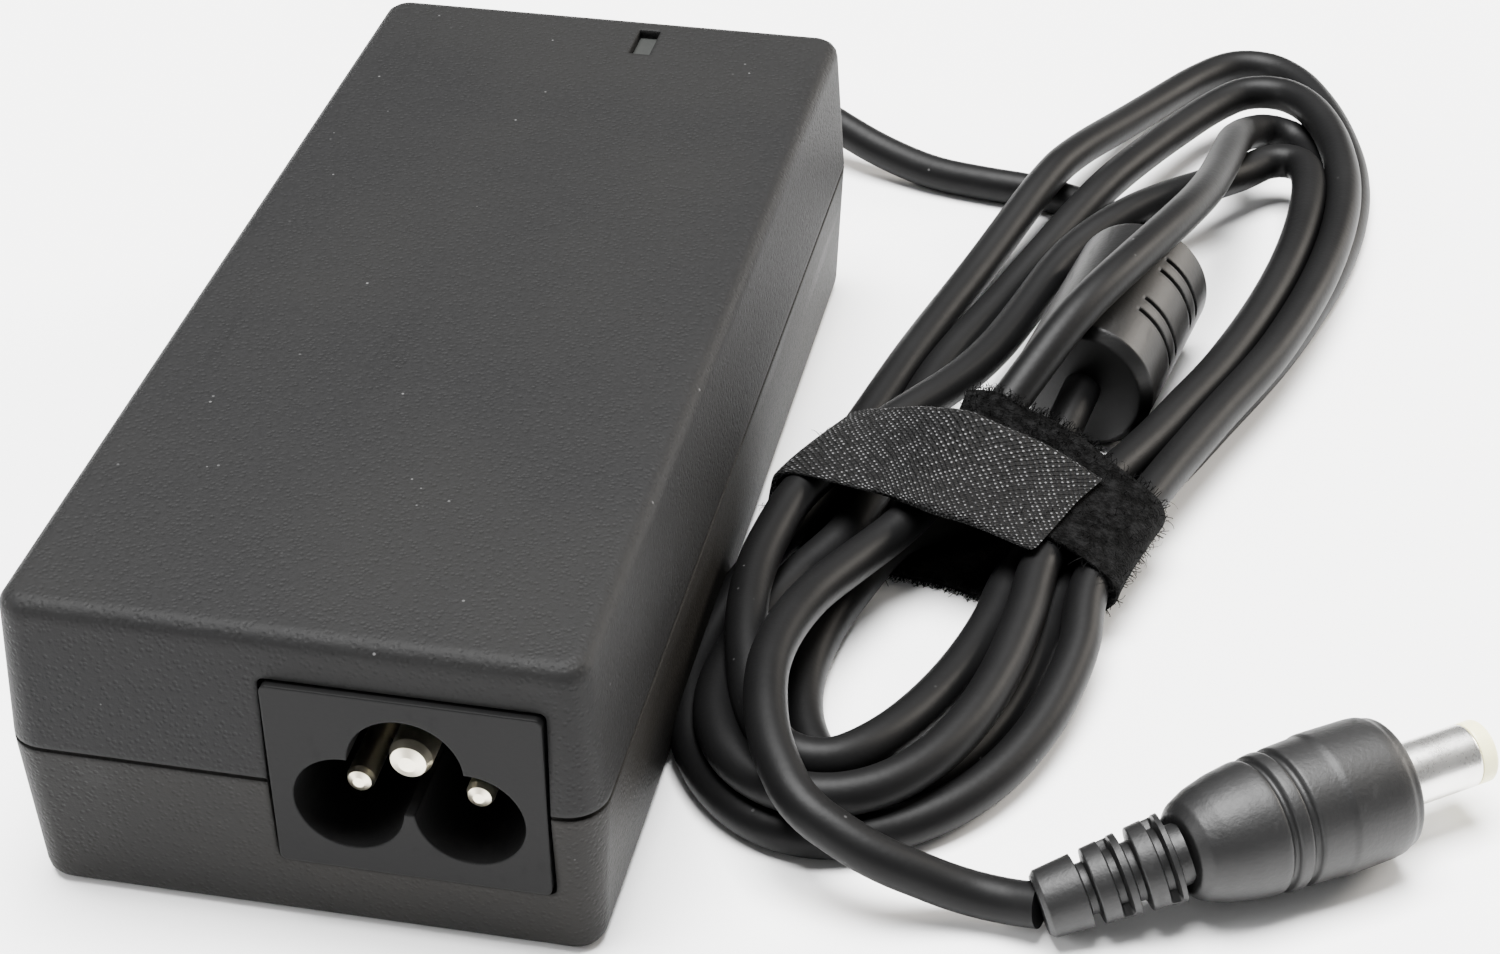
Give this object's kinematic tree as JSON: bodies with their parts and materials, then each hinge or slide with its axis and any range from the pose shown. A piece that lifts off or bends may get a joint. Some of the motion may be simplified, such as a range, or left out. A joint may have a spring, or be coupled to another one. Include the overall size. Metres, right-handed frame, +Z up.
{
  "type": "laptop power adapter",
  "caption": "Rectangular two-shell power brick with a three-pole cloverleaf inlet; its lead is wound in a tied hank with a suppression bead and a coaxial plug.",
  "frame": {"origin": "middle of the case's footprint, on the surface that it lies on", "axes": "+X across the case towards the side where the hank lies, +Y along the case towards the face that the output lead leaves, +Z up"},
  "size_m": [0.1196, 0.1618, 0.0295],
  "materials": {
    "case_plastic": "charcoal, fine spark-eroded grain",
    "case_base_plastic": "charcoal, fine spark-eroded grain, slightly warmer than the lid",
    "inlet_plastic": "black glass-filled nylon",
    "pin_metal": "nickel-plated brass, satin",
    "clear_plastic": "frosted clear light guide",
    "led_epoxy": "tinted epoxy",
    "board_laminate": "paper-phenolic board",
    "black_component": "moulded epoxy package",
    "green_component": "epoxy-dipped disc",
    "blue_component": "epoxy-dipped disc",
    "yellow_component": "boxed film capacitor",
    "sleeve_plastic": "shrink sleeve",
    "ferrite": "sintered ferrite, dark grey",
    "copper_wire": "enamelled copper wire",
    "winding_tape": "polyester tape over copper windings",
    "bobbin_plastic": "phenolic bobbin",
    "heat_sink_metal": "sheared plate",
    "screw_steel": "zinc-plated",
    "white_component": "white moulded package",
    "sheet_plastic": "flame-retardant fish paper",
    "foil_copper": "copper foil",
    "wire_red": "PVC insulation",
    "wire_black": "PVC insulation",
    "relief_rubber": "moulded flexible PVC",
    "cord_pvc": "satin black PVC jacket",
    "bead_plastic": "overmoulded PVC cover",
    "tie_fabric": "woven nylon hook-and-loop",
    "plug_plastic": "moulded PVC, fine grain",
    "barrel_metal": "nickel plated",
    "tip_plastic": "pale yellow insulator",
    "contact_metal": "spring brass"
  },
  "bodies": {
    "root": {"upper_shell": "case_plastic", "lower_shell": "case_base_plastic", "inlet_housing": "inlet_plastic", "inlet_line_pin": "pin_metal", "inlet_neutral_pin": "pin_metal", "inlet_earth_pin": "pin_metal", "light_pipe": "clear_plastic", "indicator_led": "led_epoxy", "circuit_board": "board_laminate", "input_fuse": "black_component", "inrush_thermistor": "green_component", "varistor": "blue_component", "filter_capacitor": "yellow_component", "choke_core": "ferrite", "choke_line_winding": "copper_wire", "choke_neutral_winding": "copper_wire", "bridge_rectifier": "black_component", "bulk_capacitor": "sleeve_plastic", "switching_transistor": "black_component", "primary_heat_sink": "heat_sink_metal", "control_chip": "black_component", "safety_capacitor": "blue_component", "optocoupler": "white_component", "transformer_core": "ferrite", "transformer_bobbin": "bobbin_plastic", "transformer_winding": "winding_tape", "output_rectifier": "black_component", "secondary_heat_sink": "heat_sink_metal", "heat_sink_screws": "screw_steel", "output_capacitors": "sleeve_plastic", "output_choke": "ferrite", "insulating_sheet": "sheet_plastic", "shield_foil": "foil_copper", "lead_wire_positive": "wire_red", "lead_wire_negative": "wire_black", "cord_strain_relief": "relief_rubber", "cord_to_ferrite": "cord_pvc", "ferrite_cover": "bead_plastic", "ferrite_core": "ferrite", "cord_from_ferrite": "cord_pvc", "cord_hank": "cord_pvc", "tie_strap": "tie_fabric", "cord_to_plug": "cord_pvc", "plug_strain_relief": "plug_plastic", "plug_body": "plug_plastic", "plug_barrel": "barrel_metal", "plug_tip_insulator": "tip_plastic", "plug_inner_contact": "contact_metal"}
  },
  "joints": []
}
